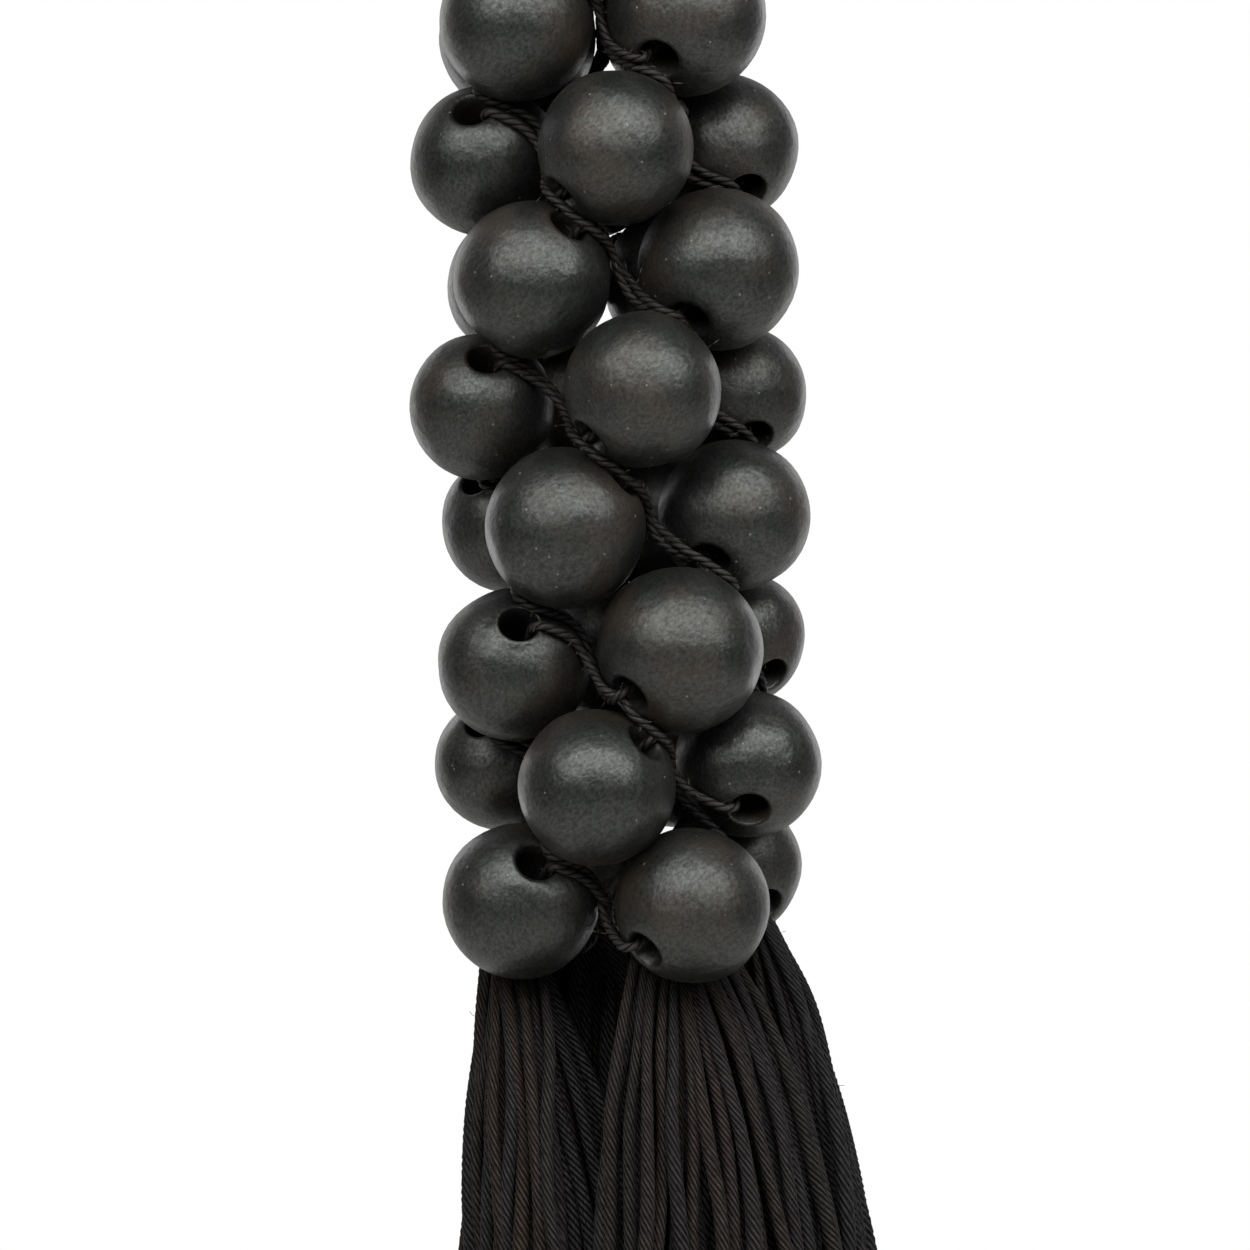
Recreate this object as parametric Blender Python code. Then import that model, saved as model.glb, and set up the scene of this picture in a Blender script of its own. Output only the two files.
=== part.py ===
"""Hanging tassel of black wooden beads with a skirt of cotton yarn.

Ten rings of four beads nest in each other. Four waxed cotton cords run up through a bead, down the
grooves beside it, and up through the bead one place on in the next ring. They start at a whipping under
the hanging loop and end in the heads of four yarn hanks. Sizes are in millimetres until a mesh is made.
The origin is the point inside the top of the loop, where it hangs.
"""

import math
from collections import namedtuple

import bmesh
import bpy
import numpy as np
from mathutils import Matrix, Vector

MM = 0.001
GAP = 0.3
SHARP_ANGLE = math.radians(50)
MERGE_DISTANCE = 0.01

# Hanging loop and whipping
LOOP_HEIGHT = 45.0
LOOP_HALF_WIDTH = 9.0
LOOP_LEG_OFFSET = 1.9
LOOP_FULLNESS = 1.2
LOOP_STEPS = 36
WHIPPING_HEIGHT = 11.0
WHIPPING_RADIUS = 4.6
WHIPPING_TURNS = 5
WHIPPING_GROOVE = 0.5
WHIPPING_SEGMENTS = 14
WHIPPING_TO_FIRST_RING = 15.0

# Beads
BORE_RADIUS = 3.1
MOUTH_ROUNDING = 0.9
BEAD_SEGMENTS = 12
BEAD_BANDS = 5
BEADS_PER_RING = 4
RING_STEP_DEGREES = 45.0
SETTLING_STEPS = 300
SETTLING_PUSH = 0.3
# The ring whose first bead stands at the very front before its turn is added
FRONT_RING = 3

# One row for each ring, from the top. All heights are below the first ring.
# drop, across, spread: where the ring's middle lies and how far its beads stand from it
# turn: how far the ring is turned past its even 45 degree step, in degrees
# nod, roll: how much lower the front and the right of the ring lie
# pitch: slope of the bores, in degrees; tips: how far each bore's upper end leans outwards
# sizes: diameters of the four beads
Ring = namedtuple("Ring", "drop across spread turn nod roll pitch tips sizes")
RINGS = (
    Ring(0.0, 0.2, 18.4, -6, 0.0, 0.0, 41, (0, -6, 4, 0), (23.9, 24.4, 23.6, 24.1)),
    Ring(19.6, -0.2, 18.4, -3, 0.3, 0.2, 41, (5, -5, 0, 5), (24.1, 23.7, 24.3, 23.5)),
    Ring(39.6, -0.2, 18.1, 1, 0.0, -0.4, 40, (0, -12, 0, 5), (24.4, 24.8, 23.9, 23.7)),
    Ring(60.1, 0.2, 18.4, 6, 0.5, -0.7, 42, (-8, -14, 0, 14), (24.0, 23.8, 23.5, 23.8)),
    Ring(80.5, 1.8, 18.5, 6, 0.0, -0.4, 44, (-5, 0, 8, 5), (25.4, 23.7, 23.5, 24.7)),
    Ring(99.8, 2.4, 19.4, 11, 0.0, -0.9, 42, (-6, 0, 3, -8), (22.1, 23.5, 22.9, 24.3)),
    Ring(118.5, 3.8, 18.5, 19, 0.9, -0.6, 40, (0, 11, -5, 0), (23.5, 22.7, 25.1, 23.8)),
    Ring(138.2, 4.8, 18.5, 25, 1.9, -0.9, 36, (0, 15, -10, -12), (23.5, 23.8, 25.9, 21.8)),
    Ring(156.3, 4.7, 19.0, 30, 3.9, 0.1, 40, (6, 14, -12, 0), (21.5, 24.0, 23.1, 23.5)),
    Ring(174.7, 4.8, 18.8, 31, 5.2, 0.5, 35, (12, -6, -5, 0), (24.5, 23.7, 21.5, 22.3)),
)

# Stringing cords
CORD_RADIUS = 1.0
CORD_STEP = 1.4
CORD_CLEARANCE = CORD_RADIUS + 0.5
CORD_APART = 2 * CORD_RADIUS + 0.5
CORD_BEND_TOLERANCE = 0.2
CORD_LONGEST_STEP = 9.0
CORD_OUTWARD_IN_GROOVE = 6.6
CORD_OUTWARD_AT_CROSSING = 6.2
CORD_ASIDE_IN_GROOVE = 1.4
# At a mouth: how deep a cord's last point in the bore lies, as a share of the bead's radius, how far off
# the bead its next point lies, and how far that one leans outwards
CORD_DEPTH_IN_BORE = 0.85
CORD_OFF_MOUTH = 1.2
CORD_LEAN_AT_MOUTH = 2.0
CORD_START_RADIUS = 2.2
CORD_OVER_TOP_REACH = 9.0
CORD_PAIRS_EVERY = 20
CORD_PAIRS_REACH = 2.0
CORD_POINTS_APART = 6
CORD_PUSH_OFF_CORD = 0.3
CORD_PUSH_OFF_BEAD = 0.6
CORD_CURVE_STEPS = 12
CORD_OFF_HEAD = 0.4
# A cord is laid in three stages: let out of the mouths, drawn into the grooves, and left to clear.
# A stage's drift fades out within mouth_reach of a bead's mouths.
Stage = namedtuple("Stage", "steps outward_drift pull mouth_reach")
CORD_STAGES = (
    Stage(100, 0.05, 0.25, 0.1),
    Stage(120, -0.05, 0.12, 4.5),
    Stage(80, 0.0, 0.06, 4.5),
)

# Yarn hanks, one under each bead of the last ring
HEAD_REACH = 14.0
HEAD_HALF_SIZES = (10.0, 7.5, 6.0)
HEAD_CLEARANCE = 0.6
HEAD_SEGMENTS = 12
HEAD_BANDS = 6
STRAND_LENGTH = 150.0
STRAND_RADIUS = 1.35
STRAND_ROOT_RADIUS = 0.95
STRAND_SIDES = 3
STRAND_STATIONS = (0.0, 0.07, 0.2, 0.45, 1.0)
FAN_REACH = 0.20
SKIRT_CENTRE = (12.5, 0.0)
SKIRT_SIDE_STRETCH = 1.29
SKIRT_SPAN_DEGREES = 84.0
# One row for each row of strands in a hank, from the inner one: how many strands, how far the row's
# roots stand from the head's middle, how wide the roots spread, and how far from the skirt's middle
# the row ends
StrandRow = namedtuple("StrandRow", "count root_out root_width end_radius")
STRAND_ROWS = (
    StrandRow(3, -4.8, 7.0, 7.0),
    StrandRow(5, -1.7, 12.4, 13.5),
    StrandRow(7, 1.5, 16.6, 20.0),
    StrandRow(8, 4.6, 17.6, 26.3),
)

FIRST_RING_HEIGHT = -(LOOP_HEIGHT + WHIPPING_HEIGHT + WHIPPING_TO_FIRST_RING)

Bead = namedtuple("Bead", "centre radius axis outward")


def clear_scene():
    for item in list(bpy.data.objects):
        bpy.data.objects.remove(item, do_unlink=True)


def make_material(name, colour, roughness):
    material = bpy.data.materials.new(name)
    material.use_nodes = True
    shader = material.node_tree.nodes["Principled BSDF"]
    shader.inputs["Base Color"].default_value = (*colour, 1.0)
    shader.inputs["Roughness"].default_value = roughness
    shader.inputs["Metallic"].default_value = 0.0
    return material


def add_object(name, data, material):
    item = bpy.data.objects.new(name, data)
    data.materials.append(material)
    bpy.context.scene.collection.objects.link(item)
    return item


def outward_at(angle):
    """Unit vector away from the column; angle 0 is the front, and it grows to the right."""
    return np.array((math.sin(angle), -math.cos(angle), 0.0))


def rightward_at(angle):
    return np.array((math.cos(angle), math.sin(angle), 0.0))


# Beads

def bead_angle(ring_index, place):
    turn = RING_STEP_DEGREES * (ring_index - FRONT_RING) + RINGS[ring_index].turn
    return math.radians(turn + 360.0 / BEADS_PER_RING * place)


def even_centre(ring_index, place):
    ring = RINGS[ring_index]
    angle = bead_angle(ring_index, place)
    height = FIRST_RING_HEIGHT - ring.drop - ring.nod * math.cos(angle) - ring.roll * math.sin(angle)
    middle = np.array((ring.across, 0.0, height))
    return middle + ring.spread * outward_at(angle)


def settle(centres, radii):
    """Push beads that are too close apart, a little at a time, until each pair clears GAP."""
    least = radii[:, None] + radii[None] + GAP
    for _ in range(SETTLING_STEPS):
        offsets = centres[:, None] - centres[None]
        distances = np.linalg.norm(offsets, axis=-1)
        np.fill_diagonal(distances, np.inf)
        short = np.clip(least - distances, 0.0, None)
        pushes = offsets / distances[..., None] * short[..., None] * SETTLING_PUSH
        centres = centres + pushes.sum(axis=1)
    return centres


def make_bead_places():
    """Settled beads as {(ring, place): Bead}."""
    keys = [(ring, place) for ring in range(len(RINGS)) for place in range(BEADS_PER_RING)]
    radii = np.array([RINGS[ring].sizes[place] / 2 for ring, place in keys])
    centres = settle(np.array([even_centre(*key) for key in keys]), radii)
    beads = {}
    for key, centre, radius in zip(keys, centres, radii):
        ring = RINGS[key[0]]
        angle = bead_angle(*key)
        pitch = math.radians(ring.pitch)
        tip = math.radians(ring.tips[key[1]])
        slope = rightward_at(angle) * math.cos(pitch) + np.array((0.0, 0.0, math.sin(pitch)))
        axis = slope * math.cos(tip) + outward_at(angle) * math.sin(tip)
        beads[key] = Bead(centre, radius, axis, outward_at(angle))
    return beads


def bead_mesh(name, radius):
    """A turned ball with a bore along Z and rounded mouths."""
    rim = math.asin((BORE_RADIUS + MOUTH_ROUNDING) / radius)
    polar = [rim + (math.pi - 2 * rim) * step / BEAD_BANDS for step in range(BEAD_BANDS + 1)]
    profile = [(radius * math.sin(angle), radius * math.cos(angle)) for angle in polar]
    mouth = radius * math.cos(rim) - MOUTH_ROUNDING
    profile += [(BORE_RADIUS, -mouth), (BORE_RADIUS, mouth)]
    return spun_mesh(name, profile, BEAD_SEGMENTS, closed=True)


def spun_mesh(name, profile, segments, closed):
    """Turn a profile of (radius, height) about Z into a solid."""
    shape = bmesh.new()
    corners = [shape.verts.new((out * MM, 0.0, height * MM)) for out, height in profile]
    edges = [shape.edges.new(pair) for pair in zip(corners, corners[1:])]
    if closed:
        edges.append(shape.edges.new((corners[-1], corners[0])))
    bmesh.ops.spin(shape, geom=corners + edges, cent=(0, 0, 0), axis=(0, 0, 1),
                   angle=2 * math.pi, steps=segments, use_merge=True)
    bmesh.ops.remove_doubles(shape, verts=shape.verts, dist=MERGE_DISTANCE * MM)
    return finished_mesh(name, shape)


def finished_mesh(name, shape):
    bmesh.ops.recalc_face_normals(shape, faces=shape.faces)
    mesh = bpy.data.meshes.new(name)
    shape.to_mesh(mesh)
    shape.free()
    mesh.shade_smooth()
    mesh.set_sharp_from_angle(angle=SHARP_ANGLE)
    return mesh


def make_beads(beads, material):
    for (ring, place), bead in beads.items():
        name = f"bead_{ring + 1}_{place + 1}"
        item = add_object(name, bead_mesh(name, bead.radius), material)
        item.location = Vector(bead.centre) * MM
        item.rotation_mode = "QUATERNION"
        item.rotation_quaternion = Vector((0, 0, 1)).rotation_difference(Vector(bead.axis))


# Hanks

Head = namedtuple("Head", "centre angle")


def make_head_places(beads):
    """Each hank's head lies just under its bead of the last ring."""
    heads = []
    last = len(RINGS) - 1
    for place in range(BEADS_PER_RING):
        bead = beads[last, place]
        angle = bead_angle(last, place)
        height = bead.centre[2] - bead.radius - HEAD_CLEARANCE - HEAD_HALF_SIZES[2]
        middle = np.array((RINGS[last].across, 0.0, height))
        heads.append(Head(middle + HEAD_REACH * outward_at(angle), angle))
    return heads


def strand_path(head, row, column, floor):
    """Points from inside the head down to the end of one strand."""
    share = (column + 0.5) / row.count - 0.5
    sideways = rightward_at(head.angle)
    root = head.centre + outward_at(head.angle) * row.root_out + sideways * share * row.root_width
    end_angle = head.angle + share * math.radians(SKIRT_SPAN_DEGREES)
    end = outward_at(end_angle) * row.end_radius
    end = np.array((end[0] * SKIRT_SIDE_STRETCH + SKIRT_CENTRE[0], end[1] + SKIRT_CENTRE[1], floor))
    full = 1.0 - math.exp(-1.0 / FAN_REACH)
    points = []
    for station in STRAND_STATIONS:
        fan = (1.0 - math.exp(-station / FAN_REACH)) / full
        point = root + (end - root) * fan
        point[2] = root[2] + (floor - root[2]) * station
        points.append(point)
    return points


def add_strand(shape, points):
    """A thin prism with capped ends along the points, thinner at its root."""
    rings = []
    for index, point in enumerate(points):
        radius = STRAND_ROOT_RADIUS if index == 0 else STRAND_RADIUS
        ring = []
        for side in range(STRAND_SIDES):
            angle = 2 * math.pi * side / STRAND_SIDES
            corner = point + radius * outward_at(angle)
            ring.append(shape.verts.new(corner * MM))
        rings.append(ring)
    for upper, lower in zip(rings, rings[1:]):
        for side in range(STRAND_SIDES):
            following = (side + 1) % STRAND_SIDES
            shape.faces.new((upper[side], upper[following], lower[following], lower[side]))
    shape.faces.new(rings[0])
    shape.faces.new(rings[-1])


def make_hank(number, head, material):
    """A head with its strands fused into it by a union."""
    floor = head.centre[2] - STRAND_LENGTH
    strands = bmesh.new()
    for row in STRAND_ROWS:
        for column in range(row.count):
            add_strand(strands, strand_path(head, row, column, floor))
    guide_name = f"strands_{number}"
    guide = add_object(guide_name, finished_mesh(guide_name, strands), material)
    guide.hide_render = True
    guide.display_type = "WIRE"

    lump = bmesh.new()
    bmesh.ops.create_uvsphere(lump, u_segments=HEAD_SEGMENTS, v_segments=HEAD_BANDS, radius=1.0)
    turn = Matrix.Rotation(head.angle, 4, "Z")
    sizes = Matrix.Diagonal((*(size * MM for size in HEAD_HALF_SIZES), 1.0))
    place = Matrix.Translation(Vector(head.centre) * MM)
    bmesh.ops.transform(lump, matrix=place @ turn @ sizes, verts=lump.verts)
    name = f"hank_{number}"
    hank = add_object(name, finished_mesh(name, lump), material)
    union = hank.modifiers.new("strands", "BOOLEAN")
    union.operation = "UNION"
    union.solver = "EXACT"
    union.object = guide


# Stringing cords

def groove_point(beads, ring, place, aside):
    """Between two neighbours of a ring, on the outer side."""
    left = beads[ring, place % BEADS_PER_RING]
    right = beads[ring, (place + 1) % BEADS_PER_RING]
    middle = (left.centre + right.centre) / 2
    outward = left.outward + right.outward
    outward /= np.linalg.norm(outward)
    across = right.centre - left.centre
    across /= np.linalg.norm(across)
    return middle + outward * CORD_OUTWARD_IN_GROOVE + across * aside


def crossing_point(beads, ring, place):
    """Between a bead and the one below it to the left, on the outer side."""
    upper = beads[ring, (place + 1) % BEADS_PER_RING]
    lower = beads[ring + 1, place % BEADS_PER_RING]
    outward = upper.outward + lower.outward
    outward /= np.linalg.norm(outward)
    return (upper.centre + lower.centre) / 2 + outward * CORD_OUTWARD_AT_CROSSING


def through_bead(bead):
    """Points below, in and above a bore."""
    inside = bead.axis * bead.radius * CORD_DEPTH_IN_BORE
    outside = bead.axis * (bead.radius + CORD_OFF_MOUTH)
    lean = bead.outward * CORD_LEAN_AT_MOUTH
    return [
        bead.centre - outside + lean,
        bead.centre - inside,
        bead.centre + inside,
        bead.centre + outside + lean,
    ]


def cord_guide_points(beads, heads, number):
    """The way of one cord, from the whipping to the head of its hank."""
    start_angle = bead_angle(0, number) - math.radians(RING_STEP_DEGREES)
    start = CORD_START_RADIUS * outward_at(start_angle)
    start[2] = -(LOOP_HEIGHT + WHIPPING_HEIGHT + GAP)
    over_top = start + CORD_OVER_TOP_REACH * outward_at(start_angle)
    over_top[2] = beads[0, number].centre[2] + CORD_OVER_TOP_REACH
    points = [start, start - np.array((0.0, 0.0, 2 * CORD_RADIUS)), over_top]
    points.append(groove_point(beads, 0, number - 1, -CORD_ASIDE_IN_GROOVE))
    last = len(RINGS) - 1
    for ring in range(len(RINGS)):
        place = (number + ring) % BEADS_PER_RING
        points += through_bead(beads[ring, place])
        points.append(groove_point(beads, ring, place, CORD_ASIDE_IN_GROOVE))
        if ring < last:
            points.append(crossing_point(beads, ring, place))
            points.append(groove_point(beads, ring + 1, place, -CORD_ASIDE_IN_GROOVE))
    head = heads[(number + last + 1) % BEADS_PER_RING]
    points.append(head_tie_point(head, points[-1]))
    return points


def head_tie_point(head, above):
    """Just off the head's surface, on the side where the cord comes down to it."""
    turned = np.array((rightward_at(head.angle), -outward_at(head.angle), (0.0, 0.0, 1.0)))
    sizes = np.array(HEAD_HALF_SIZES)
    local = turned @ (above - head.centre)
    local /= np.linalg.norm(local / sizes)
    local *= 1.0 + (GAP + CORD_OFF_HEAD) / np.linalg.norm(local)
    return head.centre + turned.T @ local


def resampled(points, step):
    """Evenly spaced points along a smooth curve through the guide points."""
    spans = [np.linalg.norm(end - start) for start, end in zip(points, points[1:])]
    slopes = [(points[1] - points[0]) / spans[0]]
    for index in range(1, len(points) - 1):
        slopes.append((points[index + 1] - points[index - 1]) / (spans[index] + spans[index - 1]))
    slopes.append((points[-1] - points[-2]) / spans[-1])
    fine = []
    for index, span in enumerate(spans):
        for share in np.linspace(0.0, 1.0, CORD_CURVE_STEPS, endpoint=False):
            square = share * share
            cube = square * share
            fine.append((2 * cube - 3 * square + 1) * points[index]
                        + (cube - 2 * square + share) * span * slopes[index]
                        + (3 * square - 2 * cube) * points[index + 1]
                        + (cube - square) * span * slopes[index + 1])
    fine = np.array([*fine, points[-1]])
    lengths = np.concatenate(([0.0], np.cumsum(np.linalg.norm(np.diff(fine, axis=0), axis=1))))
    stations = np.linspace(0.0, lengths[-1], int(lengths[-1] / step) + 1)
    return np.column_stack([np.interp(stations, lengths, fine[:, axis]) for axis in range(3)])


def wood_gaps(points, centres, radii, axes):
    """Distance from each point to each bead's wood, and the way out of it.

    A bead is a ball less its bore, so the nearest wood is the ball, the bore's wall or the rim between.
    """
    offsets = points[:, None] - centres[None]
    distance = np.maximum(np.linalg.norm(offsets, axis=-1), 1e-6)
    along = (offsets * axes[None]).sum(axis=-1)
    beside = offsets - along[..., None] * axes[None]
    out = np.maximum(np.linalg.norm(beside, axis=-1), 1e-6)
    side = beside / out[..., None]
    rim_height = np.sqrt(radii ** 2 - BORE_RADIUS ** 2)
    over_mouth = out * rim_height < np.abs(along) * BORE_RADIUS
    in_bore = (out < BORE_RADIUS) & (np.abs(along) < rim_height)
    at_rim = over_mouth & ~in_bore
    rim_out = out - BORE_RADIUS
    rim_up = along - np.sign(along) * rim_height
    rim_distance = np.maximum(np.hypot(rim_out, rim_up), 1e-6)
    from_rim = side * rim_out[..., None] + axes[None] * rim_up[..., None]
    away = offsets / distance[..., None]
    away = np.where(at_rim[..., None], from_rim / rim_distance[..., None], away)
    away = np.where(in_bore[..., None], -side, away)
    gap = np.where(at_rim, rim_distance, distance - radii)
    gap = np.where(in_bore, BORE_RADIUS - out, gap)
    return gap, away


def clear_of_beads(points, centres, radii, axes):
    """Move points out of the wood, either off the ball or towards the middle of its bore."""
    gap, away = wood_gaps(points, centres, radii, axes)
    short = np.clip(CORD_CLEARANCE - gap, 0.0, 1.0)
    return points + (away * short[..., None]).sum(axis=1) * CORD_PUSH_OFF_BEAD


def close_pairs(points, near):
    """Pairs of cord points that may press on each other."""
    offsets = points[:, None] - points[None]
    distances = np.sqrt(np.einsum("ijk,ijk->ij", offsets, offsets))
    return np.nonzero(np.triu((distances < CORD_APART + CORD_PAIRS_REACH) & ~near, 1))


def part_cords(points, pairs):
    """Push apart points of cords that press on each other."""
    first, second = pairs
    offsets = points[first] - points[second]
    distances = np.maximum(np.linalg.norm(offsets, axis=1), 1e-6)
    short = np.clip(CORD_APART - distances, 0.0, None)
    pushes = offsets * (short / distances * CORD_PUSH_OFF_CORD)[:, None]
    moved = points.copy()
    np.add.at(moved, first, pushes)
    np.add.at(moved, second, -pushes)
    return moved


def relax_cords(cords, beads, stage):
    """Move the cords through one stage, clear of the beads and of each other."""
    centres = np.array([bead.centre for bead in beads.values()])
    radii = np.array([bead.radius for bead in beads.values()])
    axes = np.array([bead.axis for bead in beads.values()])
    owner = np.concatenate([np.full(len(cord), number) for number, cord in enumerate(cords)])
    order = np.concatenate([np.arange(len(cord)) for cord in cords])
    left = np.concatenate([np.arange(len(cord))[::-1] for cord in cords])
    apart = np.abs(order[:, None] - order[None])
    near = (owner[:, None] == owner[None]) & (apart < CORD_POINTS_APART)
    ends = ((order < 2) | (left < 1))[:, None]
    points = np.concatenate(cords)
    fixed = points.copy()
    outward = points * (1.0, 1.0, 0.0)
    outward /= np.linalg.norm(outward, axis=1)[:, None]
    mouths = np.concatenate((centres + axes * radii[:, None], centres - axes * radii[:, None]))
    to_mouth = np.linalg.norm(points[:, None] - mouths[None], axis=-1).min(axis=1)
    free = np.clip(to_mouth / stage.mouth_reach - 1.0, 0.0, 1.0)[:, None]
    for step in range(stage.steps):
        if step % CORD_PAIRS_EVERY == 0:
            pairs = close_pairs(points, near)
        pulled = points + outward * stage.outward_drift * free
        pulled[1:-1] += stage.pull * ((points[:-2] + points[2:]) / 2 - points[1:-1])
        points = part_cords(np.where(ends, fixed, pulled), pairs)
        points = np.where(ends, fixed, clear_of_beads(points, centres, radii, axes))
    return [points[owner == number] for number in range(len(cords))]


def make_cord_routes(beads, heads):
    cords = [cord_guide_points(beads, heads, number) for number in range(BEADS_PER_RING)]
    for stage in CORD_STAGES:
        cords = relax_cords([resampled(points, CORD_STEP) for points in cords], beads, stage)
    return cords


def thinned(points):
    """Leave out points that a straight run can stand for."""
    kept = [0]
    while kept[-1] < len(points) - 1:
        start = kept[-1]
        best = start + 1
        for end in range(start + 2, len(points)):
            run = points[end] - points[start]
            length = np.linalg.norm(run)
            between = points[start + 1:end] - points[start]
            off = np.linalg.norm(np.cross(between, run / length), axis=1).max()
            if off > CORD_BEND_TOLERANCE or length > CORD_LONGEST_STEP:
                break
            best = end
        kept.append(best)
    return points[kept]


def make_tube(name, points, resolution, material):
    curve = bpy.data.curves.new(name, "CURVE")
    curve.dimensions = "3D"
    curve.bevel_depth = CORD_RADIUS * MM
    curve.bevel_resolution = resolution
    curve.use_fill_caps = True
    spline = curve.splines.new("POLY")
    spline.points.add(len(points) - 1)
    for knot, point in zip(spline.points, points):
        knot.co = (*(np.array(point) * MM), 1.0)
    spline.use_smooth = True
    add_object(name, curve, material)


def make_cords(beads, heads, material):
    for number, points in enumerate(make_cord_routes(beads, heads)):
        make_tube(f"string_{number + 1}", thinned(points), 0, material)


# Loop and whipping

def make_loop(material):
    """Two legs that rise from the whipping and round over at the top."""
    low = -LOOP_HEIGHT + GAP
    top = CORD_RADIUS
    points = []
    for step in range(LOOP_STEPS + 1):
        angle = math.pi * (2.0 * step / LOOP_STEPS - 1.0)
        height = (top + low) / 2 + (top - low) / 2 * math.cos(angle)
        rise = (height - low) / (top - low)
        width = LOOP_HALF_WIDTH * LOOP_FULLNESS * math.sin(angle) * math.sqrt(max(rise, 0.0))
        leg = math.copysign(LOOP_LEG_OFFSET, angle)
        points.append((width + leg * (1.0 - rise), 0.0, height))
    make_tube("hanging_loop", points, 1, material)


def make_whipping(material):
    """Close turns of cord bound round the ends, as one scalloped barrel."""
    top = -LOOP_HEIGHT
    profile = [(0.0, top)]
    pitch = WHIPPING_HEIGHT / WHIPPING_TURNS
    for turn in range(WHIPPING_TURNS):
        profile.append((WHIPPING_RADIUS - WHIPPING_GROOVE, top - turn * pitch))
        profile.append((WHIPPING_RADIUS, top - (turn + 0.5) * pitch))
    profile += [(WHIPPING_RADIUS - WHIPPING_GROOVE, top - WHIPPING_HEIGHT), (0.0, top - WHIPPING_HEIGHT)]
    add_object("whipping", spun_mesh("whipping", profile, WHIPPING_SEGMENTS, closed=False), material)


def main():
    clear_scene()
    wood = make_material("dyed_wood", (0.012, 0.013, 0.014), 0.45)
    cord = make_material("waxed_cord", (0.010, 0.009, 0.009), 0.7)
    yarn = make_material("cotton_yarn", (0.008, 0.007, 0.007), 0.95)
    beads = make_bead_places()
    heads = make_head_places(beads)
    make_beads(beads, wood)
    make_cords(beads, heads, cord)
    make_loop(cord)
    make_whipping(cord)
    for number, head in enumerate(heads):
        make_hank(number + 1, head, yarn)


if __name__ == "__main__":
    main()
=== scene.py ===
"""Dresses the bead tassel: turned wooden beads, twisted waxed cords and hanks of cotton yarn.

Places are worked out in millimetres and turned to metres when a mesh is made.
"""

import math
from collections import namedtuple
import bmesh
import bpy
import numpy as np
from mathutils import Matrix, Vector, noise


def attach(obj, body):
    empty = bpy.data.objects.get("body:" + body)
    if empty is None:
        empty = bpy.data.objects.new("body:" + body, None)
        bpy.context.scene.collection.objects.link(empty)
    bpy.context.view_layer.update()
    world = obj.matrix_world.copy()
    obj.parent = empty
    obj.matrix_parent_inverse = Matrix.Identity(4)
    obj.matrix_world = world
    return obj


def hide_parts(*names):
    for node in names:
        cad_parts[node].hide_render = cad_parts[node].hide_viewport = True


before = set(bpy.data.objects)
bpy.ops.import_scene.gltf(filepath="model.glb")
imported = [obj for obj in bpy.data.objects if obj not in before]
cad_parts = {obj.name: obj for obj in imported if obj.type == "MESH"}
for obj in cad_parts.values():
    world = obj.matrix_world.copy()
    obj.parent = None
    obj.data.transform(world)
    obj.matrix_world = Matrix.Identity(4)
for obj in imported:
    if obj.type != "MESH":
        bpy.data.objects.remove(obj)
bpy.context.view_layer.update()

bl_info = {
    "name": "Wooden bead tassel",
    "version": (1, 0, 0),
    "blender": (4, 5, 0),
    "location": "3D View > Sidebar > Tassel",
    "description": "Beads, stringing cords, hanging loop and yarn hanks of a wall tassel",
    "category": "Object",
}

MM = 0.001

# Rings of beads, from the top
RING_COUNT = 10
BEADS_PER_RING = 4

# The master bead, in millimetres
MASTER_RADIUS = 12.0
BEAD_SEGMENTS = 48
BEAD_RINGS = 28
MOUTH_RINGS = 3
BORE_CUTS = 4
# The lip of a mouth, as a share of the way from the bore out to the opening, and how deep the bore starts
LIP_SHARE = 0.35
BORE_START = 0.965
# Points nearer to the bead's middle than its radius less this are on the rim of a bore
RIM_DROP = 0.5
MOUTH_MARGIN = 0.2
BORE_SHARE = 0.995
BEAD_SEED = 11
WAVER_PER_MM = 0.11
WAVER_MIDDLE = 0.4
DENTS_PER_BEAD = 5
DENT_WIDTHS = (1.2, 3.0)
DENT_DEPTHS = (0.06, 0.18)
SQUAT_RANGE = (0.98, 1.0)
# All beads are a little larger in radius than their solids, so that neighbours meet
BEAD_GROWTH = 0.35
# Beads, most of them at the back, that are larger still, where the photo shows little or no daylight
FULLER_BEADS = {
    (2, 3): 0.8, (4, 1): 0.45, (6, 0): 0.65, (7, 0): 0.6, (8, 1): 0.2, (8, 3): 1.3, (9, 1): 0.2, (9, 2): 0.45}

# The way of the stringing cords
CORD_RADIUS = 0.74
CORD_STEP = 1.2
CORD_CLEARANCE = CORD_RADIUS + 0.2
CORD_APART = 2 * CORD_RADIUS + 0.05
# Two cords share a groove, one over the other: those that leave an even ring lie over the rest
CordLevel = namedtuple("CordLevel", "groove crossing lean_below lean_above")
CORD_OVER = CordLevel(5.7, 5.0, -3.0, 0.2)
CORD_UNDER = CordLevel(3.7, 3.2, -3.0, -2.6)
CORD_ASIDE_IN_GROOVE = 0.2
CORD_START_RADIUS = 2.2
CORD_OVER_TOP_REACH = 9.0
CORD_OFF_MOUTH = 1.0
CORD_DEPTH_IN_BORE = 0.85
# How far behind and below its bead's middle a cord ends, as shares of the bead's radius
CORD_TIE_BEHIND = 0.9
CORD_TIE_BELOW = 0.65
RING_STEP = math.radians(45.0)
GAP = 0.3
CURVE_SPANS = 12
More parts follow.
